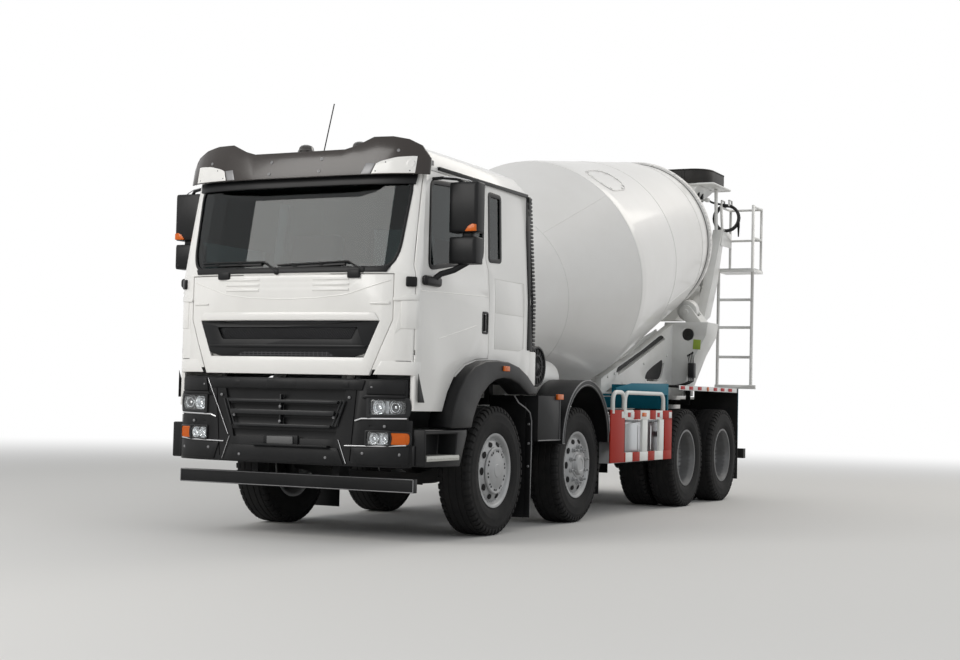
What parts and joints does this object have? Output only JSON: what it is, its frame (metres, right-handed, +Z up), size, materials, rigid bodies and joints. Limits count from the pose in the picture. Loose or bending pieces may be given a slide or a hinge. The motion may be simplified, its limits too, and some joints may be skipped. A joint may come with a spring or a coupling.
{
  "type": "concrete mixer truck",
  "caption": "Four-axle cab-over concrete mixer truck with a tilted rotating drum, charging hopper, swinging chute, steered front wheels and twin rear wheels.",
  "frame": {"origin": "centre of the bounding box, on the ground", "axes": "+Z up, the nose faces -Y, +X is the truck's left side"},
  "size_m": [2.89, 9.8629, 4.13],
  "materials": {
    "chassis": "satin",
    "engine": "satin",
    "black_plastic": "satin",
    "cab_white": "gloss",
    "mixer_white": "gloss",
    "drum_white": "gloss",
    "glass": "gloss",
    "lamp_glass": "gloss",
    "visor": "gloss",
    "teal": "gloss",
    "guard_red": "gloss",
    "tank": "satin",
    "deck": "satin",
    "rim": "satin",
    "tyre": "matte",
    "hopper_dark": "satin",
    "hose": "satin",
    "interior": "matte",
    "gearbox": "satin"
  },
  "bodies": {
    "chassis": {"chassis_frame": "chassis", "engine_block": "engine", "steer_axles": "chassis", "drive_axles": "chassis", "bumper": "black_plastic", "front_lamps": "lamp_glass", "step_boxes": "black_plastic", "fenders": "black_plastic", "side_tanks": "tank", "side_guards": "guard_red", "side_panels": "teal", "subframe": "mixer_white", "rear_deck": "deck", "drum_gearbox": "gearbox", "rear_pedestal": "mixer_white", "charge_hopper": "mixer_white", "hopper_guard": "hopper_dark", "discharge_funnel": "mixer_white", "ladder": "mixer_white", "water_tank": "mixer_white", "air_intake": "black_plastic", "wash_hose": "hose", "hose_coil": "hose"},
    "cab": {"cab_shell": "cab_white", "cab_glass": "glass", "sun_visor": "visor", "cab_fittings": "black_plastic", "arch_flares": "black_plastic", "cab_interior": "interior"},
    "front_flap": {"front_flap": "cab_white", "front_grille": "black_plastic"},
    "door_left": {"door_left": "cab_white", "door_glass_left": "glass", "mirror_left": "black_plastic"},
    "door_right": {"door_right": "cab_white", "door_glass_right": "glass", "mirror_right": "black_plastic"},
    "drum": {"drum": "drum_white"},
    "chute_turret": {"chute_turret": "mixer_white"},
    "chute": {"chute": "mixer_white"},
    "knuckle_1_left": {"knuckle_1_left": "chassis"},
    "wheel_1_left": {"rim_1_left": "rim", "tyre_1_left": "tyre"},
    "knuckle_1_right": {"knuckle_1_right": "chassis"},
    "wheel_1_right": {"rim_1_right": "rim", "tyre_1_right": "tyre"},
    "knuckle_2_left": {"knuckle_2_left": "chassis"},
    "wheel_2_left": {"rim_2_left": "rim", "tyre_2_left": "tyre"},
    "knuckle_2_right": {"knuckle_2_right": "chassis"},
    "wheel_2_right": {"rim_2_right": "rim", "tyre_2_right": "tyre"},
    "wheel_3_left": {"rims_3_left": "rim", "tyres_3_left": "tyre"},
    "wheel_3_right": {"rims_3_right": "rim", "tyres_3_right": "tyre"},
    "wheel_4_left": {"rims_4_left": "rim", "tyres_4_left": "tyre"},
    "wheel_4_right": {"rims_4_right": "rim", "tyres_4_right": "tyre"}
  },
  "joints": [
    {"name": "drum_spin", "type": "hinge", "parent": "chassis", "child": "drum", "pos_m": [0, -1.237, 2.192], "axis": [0, 0.974, 0.2267], "continuous": true},
    {"name": "steer_1_left", "type": "hinge", "parent": "chassis", "child": "knuckle_1_left", "pos_m": [0.88, -3.357, 0.5425], "axis": [0, 0, 1], "range_deg": [-32, 32]},
    {"name": "wheel_1_left_spin", "type": "hinge", "parent": "knuckle_1_left", "child": "wheel_1_left", "pos_m": [1, -3.357, 0.5425], "axis": [1, 0, 0], "continuous": true},
    {"name": "steer_1_right", "type": "hinge", "parent": "chassis", "child": "knuckle_1_right", "pos_m": [-0.88, -3.357, 0.5425], "axis": [0, 0, 1], "range_deg": [-32, 32]},
    {"name": "wheel_1_right_spin", "type": "hinge", "parent": "knuckle_1_right", "child": "wheel_1_right", "pos_m": [-1, -3.357, 0.5425], "axis": [1, 0, 0], "continuous": true},
    {"name": "steer_2_left", "type": "hinge", "parent": "chassis", "child": "knuckle_2_left", "pos_m": [0.88, -1.557, 0.5425], "axis": [0, 0, 1], "range_deg": [-22, 22]},
    {"name": "wheel_2_left_spin", "type": "hinge", "parent": "knuckle_2_left", "child": "wheel_2_left", "pos_m": [1, -1.557, 0.5425], "axis": [1, 0, 0], "continuous": true},
    {"name": "steer_2_right", "type": "hinge", "parent": "chassis", "child": "knuckle_2_right", "pos_m": [-0.88, -1.557, 0.5425], "axis": [0, 0, 1], "range_deg": [-22, 22]},
    {"name": "wheel_2_right_spin", "type": "hinge", "parent": "knuckle_2_right", "child": "wheel_2_right", "pos_m": [-1, -1.557, 0.5425], "axis": [1, 0, 0], "continuous": true},
    {"name": "wheel_3_left_spin", "type": "hinge", "parent": "chassis", "child": "wheel_3_left", "pos_m": [0.9, 1.443, 0.5425], "axis": [1, 0, 0], "continuous": true},
    {"name": "wheel_3_right_spin", "type": "hinge", "parent": "chassis", "child": "wheel_3_right", "pos_m": [-0.9, 1.443, 0.5425], "axis": [1, 0, 0], "continuous": true},
    {"name": "wheel_4_left_spin", "type": "hinge", "parent": "chassis", "child": "wheel_4_left", "pos_m": [0.9, 2.793, 0.5425], "axis": [1, 0, 0], "continuous": true},
    {"name": "wheel_4_right_spin", "type": "hinge", "parent": "chassis", "child": "wheel_4_right", "pos_m": [-0.9, 2.793, 0.5425], "axis": [1, 0, 0], "continuous": true},
    {"name": "cab_tilt", "type": "hinge", "parent": "chassis", "child": "cab", "pos_m": [0, -4.607, 1.05], "axis": [1, 0, 0], "range_deg": [0, 50]},
    {"name": "flap_lift", "type": "hinge", "parent": "cab", "child": "front_flap", "pos_m": [0, -4.902, 2.0785], "axis": [-1, 0, 0], "range_deg": [0, 80]},
    {"name": "door_left_swing", "type": "hinge", "parent": "cab", "child": "door_left", "pos_m": [1.08, -4.731, 1.69], "axis": [0, 0, -1], "range_deg": [0, 70]},
    {"name": "door_right_swing", "type": "hinge", "parent": "cab", "child": "door_right", "pos_m": [-1.08, -4.731, 1.69], "axis": [0, 0, 1], "range_deg": [0, 70]},
    {"name": "chute_swing", "type": "hinge", "parent": "chassis", "child": "chute_turret", "pos_m": [0, 4.093, 1.56], "axis": [0, 0, 1], "range_deg": [-100, 20]},
    {"name": "chute_lift", "type": "hinge", "parent": "chute_turret", "child": "chute", "pos_m": [0, 4.093, 1.8], "axis": [0.5, 0.866, 0], "range_deg": [0, 15]}
  ],
  "couplings": [
    {"joint": "steer_1_right", "follows": "steer_1_left", "ratio": 1},
    {"joint": "steer_2_left", "follows": "steer_1_left", "ratio": 0.68},
    {"joint": "steer_2_right", "follows": "steer_1_left", "ratio": 0.68}
  ]
}
